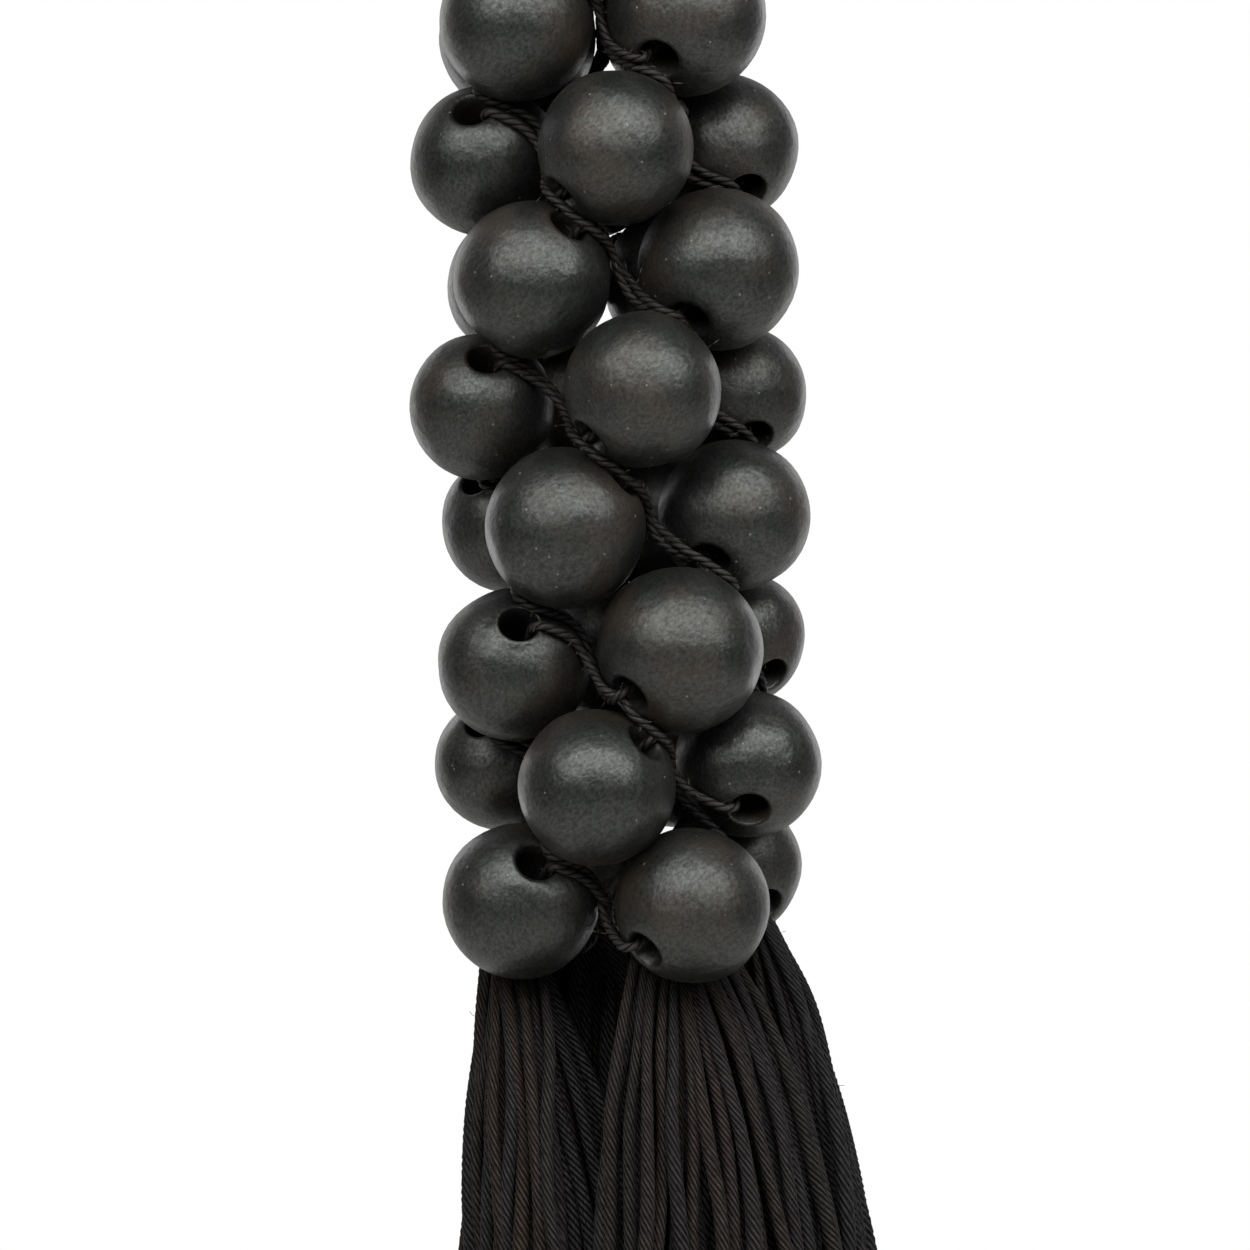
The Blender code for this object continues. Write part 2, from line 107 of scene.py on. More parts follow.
# How cords are moved: the share of an overlap that one step clears, the longest such move, which points are
# held, how far along one cord its points don't press on each other, and how often the pairs are found again
CLEARED_SHARE = 0.6
LONGEST_MOVE = 1.0
PARTED_SHARE = 0.3
HELD_AT_START = 2
HELD_AT_END = 1
OWN_NEIGHBOURS = 6
PAIR_MARGIN = 2.0
PAIRS_EVERY = 20
# A cord is laid in three stages: let out of the mouths, drawn into the grooves, and left to clear. A
# stage's drift fades out within mouth_reach of a bead's mouths.
Stage = namedtuple("Stage", "steps outward_drift pull mouth_reach")
CORD_STAGES = (
    Stage(60, 0.0, 0.16, 0.1),
    Stage(100, -0.04, 0.12, 4.0),
    Stage(120, -0.02, 0.08, 4.0),
)

# Loose fibre ends
FUZZ_RADIUS = 0.045
FUZZ_PER_STRAND = 12
FUZZ_PER_CORD = 400
FUZZ_POINTS = 5
FUZZ_SIDES = 3
FUZZ_LENGTHS = (0.3, 1.3)
FUZZ_CURL = 0.8
FUZZ_ROOT = 0.8
# Loose fibre ends take the worn colour in full; on the cords this light grey is partly painted highlight on
# the fibres
FUZZ_TONE = 1.0

# How a cord is spun. A tone says how far it is from the cord's black towards its worn colour.
CORD_SEED = 5
CORD_SIDES = 12
CORD_PLIES = 3
CORD_PLY_DEPTH = 0.26
CORD_TONES = (0.02, 0.14)
CORD_TONE = 0.08
STRING_SPUN_STEP = 0.7
LOOP_SPUN_STEP = 0.6

# Hanging loop and whipping
LOOP_HEIGHT = 45.0
LOOP_HALF_WIDTH = 9.0
LOOP_LEG_OFFSET = 1.9
LOOP_FULLNESS = 1.2
LOOP_SUNK = 2.0
LOOP_STEPS = 36
WHIPPING_HEIGHT = 11.0
WHIPPING_RADIUS = 4.6
WHIPPING_TURNS = 5
WHIPPING_STEPS_PER_TURN = 24
WHIPPING_UNEVENNESS = 0.012
WHIPPING_CORD_GROWTH = 1.04
CORE_INSET = 0.6
CORE_STEP = 1.0

# Hanks
HEAD_CLEARANCE = 0.6
HEAD_HALF_HEIGHT = 6.0
STRAND_LENGTH = 150.0
SKIRT_CENTRE = 12.0
SKIRT_SIDE_STRETCH = 1.27
FAN_REACH = 0.20
FRONT_SQUEEZE = 0.25
STRAND_OFF_BEAD = 0.9
STRAND_STRAY = 0.09
STRAND_SLUB = 0.07
SLUB_LENGTHS = (4.0, 11.0)
SLUB_PHASES = (0.0, 6.0)
STRAND_STATIONS = 14
STRAND_SEED = 23
# Ranges that strands are drawn from: their places in a row, widths and pitches as shares, how steeply they
# leave the bead, how far off their ends are, down and outwards, and how far they waver
STRAND_PLACES = (0.3, 0.7)
STRAND_WIDTHS = (0.86, 1.05)
STRAND_PITCHES = (0.82, 1.2)
STRAND_LEAVES = (0.9, 1.08)
STRAND_END_DROPS = (-1.5, 1.5)
STRAND_END_REACHES = (-1.3, 0.9)
WAVERS = (0.25, 1.15)
SHORT_WAVE = 9.0
LONG_WAVE = 21.0
WAVER_GROWTH = 6.0
# Plied and plain strands: their plies, sides and steps along them
YARN_PLIES = 8
YARN_PLY_DEPTH = 0.26
PLIED_SIDES = 16
PLAIN_SIDES = 7
PLIED_STEP = 1.1
PLAIN_STEP = 5.0
# How much a strand's tie rises for each part that it is tucked to the side
STRAND_RISE = 0.33
# A strand is pressed to this share of its width at its tie, and is free at this distance down
STRAND_PRESSED = 0.58
STRAND_FREED = 50.0
# The part of the skirt that each hank fills, how far round the bead's underside its outermost strands are
# tied and on which side of the bead, all in degrees, and how far they are tucked to that side
Hank = namedtuple("Hank", "start stop tilt behind tuck")
HANKS = (
    Hank(-106.0, -30.0, 36.0, 185.0, 0.75),
    Hank(-30.0, 74.0, 38.0, 190.0, 0.75),
    Hank(74.0, 160.0, 35.0, 14.0, 0.4),
    Hank(160.0, 254.0, 42.0, 31.0, 0.6),
)
EVEN_SECTOR = 90.0
# One row for each layer of strands in a hank, from the inner one: how many strands in an even sector, how
# far round the bead's underside they start, as a share of the outermost, how wide round it they spread, how
# far from the skirt's middle they end, and whether they show their plies
StrandRow = namedtuple("StrandRow", "count root_share root_turn end_radius plied")
STRAND_ROWS = (
    StrandRow(6, -0.8, 90.0, 5.0, False),
    StrandRow(9, -0.4, 130.0, 10.5, False),
    StrandRow(13, 0.4, 165.0, 16.0, False),
    StrandRow(14, 0.72, 170.0, 21.3, True),
    StrandRow(16, 1.0, 180.0, 26.5, True),
)

Bead = namedtuple("Bead", "centre radius axis outward")
Head = namedtuple("Head", "centre angle bead")
Twist = namedtuple("Twist", "plies pitch depth")
CORE_TWIST = Twist(6, 60.0, 0.2)
# Marks a strand whose plies aren't modelled
UNTWISTED_RIDGE = -1.0
# Shifts the fibre pattern from one strand to the next, in metres
PATTERN_SHIFT = 0.013

# Sizes of surface patterns, in metres
WORN_PATCH = 0.012
WOOD_GRAIN = 0.00055
DUST_SPACING = 0.003
SCUFF_WIDTH = 0.004
# Cotton fibres are 0.02 mm thick, too fine to show, so they are drawn as bundles this wide
CORD_FIBRES = 0.00016
YARN_FIBRES = 0.00022

# Studio, in metres
FLOOR_SIZE = 2.4
FLOOR_HEIGHT = -0.62
CAMERA_PLACE = (0.004, -1.0, -0.2061)
CAMERA_LENS = 180.0
CAMERA_SENSOR = 36.0
# Each soft light's name, its place, what it is aimed at, its width and height, and its watts
LIGHTS = (
    ("top_softbox", (0.06, -0.72, 0.44), (0.0, 0.0, -0.22), (2.6, 0.8), 40.0),
    ("left_softbox", (-0.6, 0.9, -0.1), (0.0, 0.0, -0.22), (0.4, 1.0), 2.2),
    ("right_softbox", (0.6, 0.9, -0.1), (0.0, 0.0, -0.22), (0.4, 1.0), 2.2),
    ("low_fill", (0.0, -0.6, -1.0), (0.0, 0.0, -0.24), (0.9, 0.5), 0.3),
)


def linear_colour(text):
    """A linear RGB colour from an sRGB hex value."""
    shares = [int(text[place:place + 2], 16) / 255.0 for place in (1, 3, 5)]
    return tuple(
        share / 12.92 if share <= 0.04045 else ((share + 0.055) / 1.055) ** 2.4 for share in shares)


def outward_at(angle):
    """Unit vector away from the column; angle 0 is the front, and it grows to the right."""
    return np.array((math.sin(angle), -math.cos(angle), 0.0))


# Materials

def add_node(tree, kind, inputs=None, **settings):
    """Add a node. Inputs gives each socket a value or the output that feeds it."""
    node = tree.nodes.new(kind)
    for name, value in settings.items():
        setattr(node, name, value)
    for name, value in (inputs or {}).items():
        if isinstance(value, bpy.types.NodeSocket):
            tree.links.new(value, node.inputs[name])
        else:
            node.inputs[name].default_value = value
    return node


def new_material(name, **shader_values):
    """A material, its node tree and its shader; an underscore stands for a space in a socket's name."""
    material = bpy.data.materials.new(name)
    material.use_nodes = True
    shader = material.node_tree.nodes["Principled BSDF"]
    for socket, value in shader_values.items():
        shader.inputs[socket.replace("_", " ")].default_value = value
    return material, material.node_tree, shader


def mix_colours(tree, share, first, second):
    """The output of a colour mix, whose colours go in at 6 and 7 and come out at 2."""
    return add_node(tree, "ShaderNodeMix", {0: share, 6: first, 7: second}, data_type="RGBA").outputs[2]


def make_dyed_wood(settings):
    """Hardwood, turned, dyed black and rubbed with wax: a satin sheen that is broken by pores and fine
    turning marks, brownish where the dye took less, with a little dust."""
    material, tree, shader = new_material("dyed_wood", IOR=1.5, Specular_Tint=(0.97, 1.0, 0.95, 1.0))
    place = add_node(tree, "ShaderNodeAttribute", attribute_name="turning_place").outputs["Vector"]
    along_bore = add_node(tree, "ShaderNodeVectorMath", {0: place, 1: (1.0, 1.0, 0.7)}, operation="MULTIPLY")
    patches = add_node(tree, "ShaderNodeTexNoise", {"Vector": place, "Scale": 1 / WORN_PATCH, "Detail": 3.0})
    worn = add_node(tree, "ShaderNodeMapRange", {
        "Value": patches.outputs["Fac"], "From Min": 0.48, "From Max": 0.68})
    grain = add_node(tree, "ShaderNodeTexNoise", {
        "Vector": along_bore.outputs["Vector"], "Scale": 1 / WOOD_GRAIN, "Detail": 4.0, "Roughness": 0.7})
    pores = add_node(tree, "ShaderNodeMapRange", {
        "Value": grain.outputs["Fac"], "From Min": 0.35, "From Max": 0.75, "To Min": 0.0, "To Max": 1.0})
    dyed = mix_colours(tree, worn.outputs["Result"], (*settings.wood_black, 1.0), (*settings.wood_brown, 1.0))
    grained = mix_colours(tree, pores.outputs["Result"], dyed, (*settings.wood_pale, 1.0))
    specks = add_node(tree, "ShaderNodeTexVoronoi", {
        "Vector": place, "Scale": 1 / DUST_SPACING, "Randomness": 1.0})
    speck = add_node(tree, "ShaderNodeMapRange", {
        "Value": specks.outputs["Distance"], "From Min": 0.08, "From Max": 0.03, "To Max": 0.4})
    dusted = mix_colours(tree, speck.outputs["Result"], grained, (*settings.dust, 1.0))
    tree.links.new(dusted, shader.inputs["Base Color"])
    satin = add_node(tree, "ShaderNodeMapRange", {
        "Value": patches.outputs["Fac"], "From Min": 0.3, "From Max": 0.7, "To Min": 0.35, "To Max": 0.5})
    tree.links.new(satin.outputs["Result"], shader.inputs["Roughness"])
    broken = add_node(tree, "ShaderNodeMapRange", {
        "Value": grain.outputs["Fac"], "From Min": 0.35, "From Max": 0.65, "To Min": 0.28, "To Max": 0.66})
    tree.links.new(broken.outputs["Result"], shader.inputs["Specular IOR Level"])
    scuffs = add_node(tree, "ShaderNodeTexNoise", {"Vector": place, "Scale": 1 / SCUFF_WIDTH, "Detail": 3.0})
    worked = add_node(tree, "ShaderNodeBump", {
        "Height": scuffs.outputs["Fac"], "Strength": 0.8, "Distance": 0.0004})
    pitted = add_node(tree, "ShaderNodeBump", {
        "Height": grain.outputs["Fac"], "Normal": worked.outputs["Normal"],
        "Strength": 0.5, "Distance": 0.0001})
    tree.links.new(pitted.outputs["Normal"], shader.inputs["Normal"])
    return material


def make_spun_material(name, colour, worn_colour, fibre_width, ply_spacing, shine, **shader_values):
    """Fibres that lie along a twisted cord or strand, from its own map: metres along it and round it.

    Its plies are modelled, and the colour and the gleam are darkened in the hollows between them and
    lightened on their ridges: painted shade and painted highlight.
    Only an untwisted strand has them drawn, as painted stripes of the same shade and light, at ply_spacing
    along it and round it.
    """
    material, tree, shader = new_material(name, **shader_values)
    twist_map = add_node(tree, "ShaderNodeUVMap", uv_map="twist").outputs["UV"]
    lie = add_node(tree, "ShaderNodeVectorMath", {0: twist_map, 1: (0.12, 1.0, 1.0)}, operation="MULTIPLY")
    fibres = add_node(tree, "ShaderNodeTexNoise", {
        "Vector": lie.outputs["Vector"], "Scale": 1 / fibre_width, "Detail": 3.0, "Roughness": 0.65})
    tone = add_node(tree, "ShaderNodeAttribute", attribute_name="tone").outputs["Fac"]
    dyed = mix_colours(tree, tone, (*colour, 1.0), (*worn_colour, 1.0))
    # Streaks along the fibres that darken and lighten the colour: partly the fibres' own tone, partly painted
    # light on single fibres
    lit = add_node(tree, "ShaderNodeMapRange", {
        "Value": fibres.outputs["Fac"], "From Min": 0.3, "From Max": 0.7, "To Min": 0.25, "To Max": 1.9})
    # Painted ply shade: the ridge attribute darkens the colour in the hollows between plies and lightens it
    # on their ridges
    ridge = add_node(tree, "ShaderNodeAttribute", attribute_name="ridge").outputs["Fac"]
    # An untwisted strand gets painted stripes of ply shade and light from its map instead
    waves = [2 * math.pi / spacing for spacing in ply_spacing]
    ply_place = add_node(tree, "ShaderNodeVectorMath", {
        0: twist_map, 1: (*waves, 0.0)}, operation="DOT_PRODUCT")
    swell = add_node(tree, "ShaderNodeMath", {0: ply_place.outputs["Value"]}, operation="SINE")
    painted_ply_ridge = add_node(tree, "ShaderNodeMapRange", {
        "Value": swell.outputs["Value"], "From Min": -1.0, "From Max": 1.0})
    untwisted = add_node(tree, "ShaderNodeMath", {0: ridge, 1: 0.0}, operation="LESS_THAN")
    any_ridge = add_node(tree, "ShaderNodeMix", {
        0: untwisted.outputs["Value"], 2: ridge, 3: painted_ply_ridge.outputs["Result"]})
    ply_shade = add_node(tree, "ShaderNodeMapRange", {
        "Value": any_ridge.outputs[0], "To Min": 0.1, "To Max": 1.6})
    # The fibre streaks and the painted ply shade scale the colour, and below the gleam, together
    depth = add_node(tree, "ShaderNodeMath", {
        0: lit.outputs["Result"], 1: ply_shade.outputs["Result"]}, operation="MULTIPLY")
    shade = add_node(tree, "ShaderNodeVectorMath", {
        0: dyed, "Scale": depth.outputs["Value"]}, operation="SCALE")
    tree.links.new(shade.outputs["Vector"], shader.inputs["Base Color"])
    gleam = add_node(tree, "ShaderNodeMath", {
        0: depth.outputs["Value"], 1: shine}, operation="MULTIPLY")
    tree.links.new(gleam.outputs["Value"], shader.inputs["Specular IOR Level"])
    raised = add_node(tree, "ShaderNodeBump", {
        "Height": fibres.outputs["Fac"], "Strength": 0.6, "Distance": 0.00012})
    tree.links.new(raised.outputs["Normal"], shader.inputs["Normal"])
    return material


def make_waxed_cord(settings):
    """Three-ply cotton cord drawn through black wax: dark, with a dull gleam on its plies."""
    ply_spacing = (settings.cord_pitch / CORD_PLIES, math.pi * settings.cord_width / CORD_PLIES)
    return make_spun_material(
        "waxed_cord", settings.cord_black, settings.cord_worn_and_glint, CORD_FIBRES, ply_spacing, 0.1,
        Roughness=0.55)


def make_cotton_yarn(settings):
    """Soft cotton yarn dyed charcoal: no gloss, a faint bloom of loose fibres, strands not all one tone."""
    ply_spacing = (settings.yarn_pitch / YARN_PLIES, math.pi * settings.strand_width / YARN_PLIES)
    return make_spun_material(
        "cotton_yarn", settings.yarn_black, settings.yarn_brown, YARN_FIBRES, ply_spacing, 0.08,
        Roughness=0.9)


# Beads

def read_beads():
    """Each bead's place, size and bore, in millimetres, read from the frame."""
    beads = {}
    for ring in range(RING_COUNT):
        found = []
        for place in range(BEADS_PER_RING):
            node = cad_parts[f"bead_{ring + 1}_{place + 1}"]
            corners = np.array([vertex.co for vertex in node.data.vertices]) / MM
            centre = (corners.min(axis=0) + corners.max(axis=0)) / 2
            distances = np.linalg.norm(corners - centre, axis=1)
            radius = distances.max()
            rims = corners[distances < radius - RIM_DROP] - centre
            axis = np.linalg.svd(rims)[2][0]
            found.append((centre, radius, axis * np.sign(axis[2])))
        middle = np.mean([centre for centre, radius, axis in found], axis=0)
        for place, (centre, radius, axis) in enumerate(found):
            outward = (centre - middle) * (1.0, 1.0, 0.0)
            fuller = radius + FULLER_BEADS.get((ring, place), 0.0)
            beads[ring, place] = Bead(centre, fuller, axis, outward / np.linalg.norm(outward))
    return beads


def select_in_edit_mode(item, kind, wanted):
    """Select only the faces or edges of the mesh in edit mode that are wanted."""
    bpy.ops.mesh.select_mode(type="FACE" if kind == "faces" else "EDGE")
    bpy.ops.mesh.select_all(action="DESELECT")
    shape = bmesh.from_edit_mesh(item.data)
    for element in getattr(shape, kind):
        if wanted(element):
            element.select_set(True)
    bmesh.update_edit_mesh(item.data)


def model_master_bead(bore_radius):
    """A ball with its poles opened, the openings drawn in to a rounded mouth, and a bore between them."""
    bpy.ops.object.select_all(action="DESELECT")
    bpy.ops.mesh.primitive_uv_sphere_add(segments=BEAD_SEGMENTS, ring_count=BEAD_RINGS,
                                         radius=MASTER_RADIUS * MM, location=(0.0, 0.0, 0.0))
    bead = bpy.context.object
    mouth_angle = math.pi * MOUTH_RINGS / BEAD_RINGS
    mouth_height = MASTER_RADIUS * MM * math.cos(mouth_angle)
    mouth_radius = MASTER_RADIUS * MM * math.sin(mouth_angle)
    bpy.ops.object.mode_set(mode="EDIT")
    select_in_edit_mode(bead, "faces", lambda face: abs(face.calc_center_median().z) > mouth_height)
    bpy.ops.mesh.delete(type="FACE")
    select_in_edit_mode(bead, "edges", lambda edge: edge.is_boundary)
    lip = (bore_radius + (mouth_radius - bore_radius) * LIP_SHARE) / mouth_radius
    for across, along in ((lip, 1.0), (bore_radius / mouth_radius / lip, BORE_START)):
        bpy.ops.mesh.extrude_edges_move(TRANSFORM_OT_translate={"value": (0.0, 0.0, 0.0)})
        bpy.ops.transform.resize(value=(across, across, along), center_override=(0.0, 0.0, 0.0))
    select_in_edit_mode(bead, "edges", lambda edge: edge.is_boundary)
    bpy.ops.mesh.bridge_edge_loops(number_cuts=BORE_CUTS)
    bpy.ops.mesh.select_all(action="SELECT")
    bpy.ops.mesh.normals_make_consistent(inside=False)
    bpy.ops.object.mode_set(mode="OBJECT")
    bpy.ops.object.shade_smooth()
    return bead


def uneven(local, draws, unevenness):
    """Shares of the radius for each point of a bead: a slow waver and a few shallow dents."""
    offset = Vector(draws.uniform(0.0, 90.0, 3))
    waver = np.array([noise.noise(Vector(point) * WAVER_PER_MM + offset) for point in local])
    drop = unevenness * (waver - WAVER_MIDDLE)
    for _ in range(DENTS_PER_BEAD):
        spot = draws.normal(size=3)
        spot *= MASTER_RADIUS / np.linalg.norm(spot)
        width = draws.uniform(*DENT_WIDTHS)
        depth = draws.uniform(*DENT_DEPTHS)
        away = np.linalg.norm(local - spot, axis=1)
        drop -= depth * np.exp(-(away / width) ** 2)
    return 1.0 + drop / MASTER_RADIUS


def make_bead(name, bead, master, draws, unevenness, material):
    """An uneven copy of the master bead, with its own mesh, at a bead's place."""
    mesh = master.data.copy()
    mesh.name = name
    local = np.array([vertex.co for vertex in master.data.vertices]) / MM
    mouth_radius = MASTER_RADIUS * math.sin(math.pi * MOUTH_RINGS / BEAD_RINGS)
    bore = np.hypot(local[:, 0], local[:, 1]) < mouth_radius - MOUTH_MARGIN
    shares = np.where(bore, BORE_SHARE, uneven(local, draws, unevenness))
    squat = np.array((1.0, 1.0, draws.uniform(*SQUAT_RANGE)))
    placed = local * shares[:, None] * squat * (bead.radius + BEAD_GROWTH) / MASTER_RADIUS
    turn = Vector((0.0, 0.0, 1.0)).rotation_difference(Vector(bead.axis)).to_matrix()
    spin = Matrix.Rotation(draws.uniform(0.0, 2 * math.pi), 3, "Z")
    placed = placed @ np.array(turn @ spin).T + bead.centre
    mesh.vertices.foreach_set("co", (placed * MM).ravel())
    grain = mesh.attributes.new("turning_place", "FLOAT_VECTOR", "POINT")
    grain.data.foreach_set("vector", (local * MM + draws.uniform(0.0, 1.0, 3)).ravel())
    mesh.update()
    mesh.materials.clear()
    mesh.materials.append(material)
    piece = bpy.data.objects.new(name, mesh)
    bpy.context.scene.collection.objects.link(piece)
    return piece


# Twisted cords and strands

def smooth_frames(points):
    """Unit tangents along a line, and two sideways directions that turn as little as they can."""
    tangents = np.gradient(points, axis=0)
    tangents /= np.linalg.norm(tangents, axis=1)[:, None]
    seed = np.array((1.0, 0.0, 0.0)) if abs(tangents[0][0]) < 0.8 else np.array((0.0, 1.0, 0.0))
    first = np.cross(tangents[0], seed)
    sides = []
    for tangent in tangents:
        first = first - tangent * (first @ tangent)
        first /= np.linalg.norm(first)
        sides.append(first)
    sides = np.array(sides)
    return sides, np.cross(tangents, sides)


def twisted_rows(points, radii, twist, sides, phase):
    """Rows of corners round a line; with a twist, the corners between two plies sink."""
    first, second = smooth_frames(points)
    lengths = np.concatenate(([0.0], np.cumsum(np.linalg.norm(np.diff(points, axis=0), axis=1))))
    corner = np.arange(sides)
    angles = phase + 2 * math.pi * corner[None] / sides
    reach = np.repeat(np.asarray(radii, float)[:, None], sides, axis=1)
    if twist:
        angles = angles - 2 * math.pi * lengths[:, None] / twist.pitch
        hollow = (corner % (sides // twist.plies)) == 0
        reach = reach * np.where(hollow, 1.0 - twist.depth, 1.0)
        # The material paints light on the ridge corners and shade on the sunk corners between plies from this
        # value
        ridge = np.where(hollow, 0.0, 1.0)
    else:
        angles = np.repeat(angles, len(points), axis=0)
        # Minus one marks an untwisted strand, on which the material draws painted stripes of ply shade and
        # light
        ridge = np.full(sides, UNTWISTED_RIDGE)
    rows = points[:, None] + reach[..., None] * (
        np.cos(angles)[..., None] * first[:, None] + np.sin(angles)[..., None] * second[:, None])
    return rows, lengths, np.tile(ridge, len(points))


class Spinner:
    """Gathers twisted strands into one mesh, each closed at both ends."""

    def __init__(self):
        self.corners = []
        self.quads = []
        self.caps = []
        self.quad_maps = []
        self.tones = []
        self.ridges = []
        self.count = 0

    def add(self, points, radii, twist=None, sides=8, phase=0.0, tone=0.5):
        rows, lengths, ridges = twisted_rows(np.asarray(points), radii, twist, sides, phase)
        steps = len(rows)
        index = self.count + np.arange(steps * sides).reshape(steps, sides)
        following = np.roll(index, -1, axis=1)
        quads = np.stack((index[:-1], following[:-1], following[1:], index[1:]), axis=-1)
        low = np.arange(sides) * 2 * math.pi * np.mean(radii) / sides * MM
        high = np.append(low[1:], 2 * math.pi * np.mean(radii) * MM)
        start = np.broadcast_to(lengths[:-1, None] * MM, (steps - 1, sides))
        end = np.broadcast_to(lengths[1:, None] * MM, (steps - 1, sides))
        left = np.broadcast_to(low, (steps - 1, sides))
        right = np.broadcast_to(high, (steps - 1, sides))
        shift = PATTERN_SHIFT * len(self.caps)
        start = start + shift
        end = end + shift
        maps = np.stack((start, left, start, right, end, right, end, left), axis=-1)
        self.corners.append(rows.reshape(-1, 3) * MM)
        self.quads.append(quads.reshape(-1, 4))
        self.quad_maps.append(maps.reshape(-1, 8))
        self.caps.append(index[0][::-1].tolist())
        self.caps.append(index[-1].tolist())
        self.tones.append(np.full(steps * sides, tone))
        self.ridges.append(ridges)
        self.count += steps * sides

    def add_fuzz(self, points, radius, count, draws):
        """Loose fibre ends that stand off a cord or strand."""
        for _ in range(count):
            index = draws.integers(2, len(points) - 2)
            along = points[index + 1] - points[index - 1]
            along /= np.linalg.norm(along)
            out = np.cross(along, draws.normal(size=3))
            out /= np.linalg.norm(out)
            curl = draws.normal(size=3) * FUZZ_CURL + along * draws.uniform(-1.0, 1.0)
            length = draws.uniform(*FUZZ_LENGTHS)
            steps = np.linspace(0.0, length, FUZZ_POINTS)[:, None]
            fibre = points[index] + out * (radius * FUZZ_ROOT + steps) + curl * steps ** 2 / length
            self.add(fibre, np.full(FUZZ_POINTS, FUZZ_RADIUS), sides=FUZZ_SIDES, tone=FUZZ_TONE)

    def mesh(self, name):
        corners = np.concatenate(self.corners)
        quads = np.concatenate(self.quads)
        mesh = bpy.data.meshes.new(name)
        mesh.from_pydata(corners.tolist(), [], quads.tolist() + self.caps)
        layer = mesh.uv_layers.new(name="twist")
        maps = np.zeros(len(mesh.loops) * 2)
        flat = np.concatenate(self.quad_maps).ravel()
        maps[:len(flat)] = flat
        layer.data.foreach_set("uv", maps)
        for attribute, values in (("tone", self.tones), ("ridge", self.ridges)):
            layer = mesh.attributes.new(attribute, "FLOAT", "POINT")
            layer.data.foreach_set("value", np.concatenate(values))
        mesh.shade_smooth()
        return mesh


def add_spun_piece(name, spinner, material):
    mesh = spinner.mesh(name)
    mesh.materials.append(material)
    piece = bpy.data.objects.new(name, mesh)
    bpy.context.scene.collection.objects.link(piece)
    return piece


# The way of the stringing cords

def groove_point(beads, ring, place, aside, level):
    """Between two neighbours of a ring, on the outer side."""
    left = beads[ring, place % BEADS_PER_RING]
    right = beads[ring, (place + 1) % BEADS_PER_RING]
    middle = (left.centre + right.centre) / 2
    outward = left.outward + right.outward
    outward /= np.linalg.norm(outward)
    across = right.centre - left.centre
    across /= np.linalg.norm(across)
    return middle + outward * level + across * aside


def crossing_point(beads, ring, place, level):
    """Between a bead and the one below it to the left, on the outer side."""
    upper = beads[ring, (place + 1) % BEADS_PER_RING]
    lower = beads[ring + 1, place % BEADS_PER_RING]
    outward = upper.outward + lower.outward
    outward /= np.linalg.norm(outward)
    return (upper.centre + lower.centre) / 2 + outward * level


def through_bead(bead, lean_below, lean_above):
    """Points below, in and above a bore. A lean says how far outwards the cord turns at a mouth."""
    return [
        bead.centre - bead.axis * (bead.radius + CORD_OFF_MOUTH) + bead.outward * lean_below,
        bead.centre - bead.axis * bead.radius * CORD_DEPTH_IN_BORE,
        bead.centre + bead.axis * bead.radius * CORD_DEPTH_IN_BORE,
        bead.centre + bead.axis * (bead.radius + CORD_OFF_MOUTH) + bead.outward * lean_above,
    ]


def cord_guide_points(beads, heads, number):
    """The way of one cord, from the whipping to the head of its hank."""
    start_angle = math.atan2(beads[0, number].outward[0], -beads[0, number].outward[1]) - RING_STEP
    start = CORD_START_RADIUS * outward_at(start_angle)
    start[2] = -(LOOP_HEIGHT + WHIPPING_HEIGHT + GAP)
    over_top = start + CORD_OVER_TOP_REACH * outward_at(start_angle)
    over_top[2] = beads[0, number].centre[2] + CORD_OVER_TOP_REACH
    points = [start, start - np.array((0.0, 0.0, 2 * CORD_RADIUS)), over_top]
    points.append(groove_point(beads, 0, number - 1, -CORD_ASIDE_IN_GROOVE, CORD_OVER.groove))
    last = RING_COUNT - 1
    for ring in range(RING_COUNT):
        place = (number + ring) % BEADS_PER_RING
        level = CORD_OVER if ring % 2 else CORD_UNDER
        points += through_bead(beads[ring, place], level.lean_below, level.lean_above)
        points.append(groove_point(beads, ring, place, CORD_ASIDE_IN_GROOVE, level.groove))
        if ring < last:
            points.append(crossing_point(beads, ring, place, level.crossing))
            points.append(groove_point(beads, ring + 1, place, -CORD_ASIDE_IN_GROOVE, level.groove))
    tied_to = heads[(number + last + 1) % BEADS_PER_RING].bead
    tie = CORD_TIE_BEHIND * tied_to.outward + np.array((0.0, 0.0, CORD_TIE_BELOW))
    points.append(tied_to.centre - tied_to.radius * tie)
    return points


def resampled(points, step):
    """Evenly spaced points along a smooth curve through the guide points."""
    points = np.asarray(points)
    spans = np.linalg.norm(np.diff(points, axis=0), axis=1)
    slopes = [(points[1] - points[0]) / spans[0]]
    for index in range(1, len(points) - 1):
        slopes.append((points[index + 1] - points[index - 1]) / (spans[index] + spans[index - 1]))
    slopes.append((points[-1] - points[-2]) / spans[-1])
    fine = []
    for index, span in enumerate(spans):
        for share in np.linspace(0.0, 1.0, CURVE_SPANS, endpoint=False):
            square = share * share
            cube = square * share
            fine.append((2 * cube - 3 * square + 1) * points[index]
                        + (cube - 2 * square + share) * span * slopes[index]
                        + (3 * square - 2 * cube) * points[index + 1]
                        + (cube - square) * span * slopes[index + 1])
    fine = np.array([*fine, points[-1]])
    lengths = np.concatenate(([0.0], np.cumsum(np.linalg.norm(np.diff(fine, axis=0), axis=1))))
    stations = np.linspace(0.0, lengths[-1], int(lengths[-1] / step) + 1)
    return np.column_stack([np.interp(stations, lengths, fine[:, axis]) for axis in range(3)])


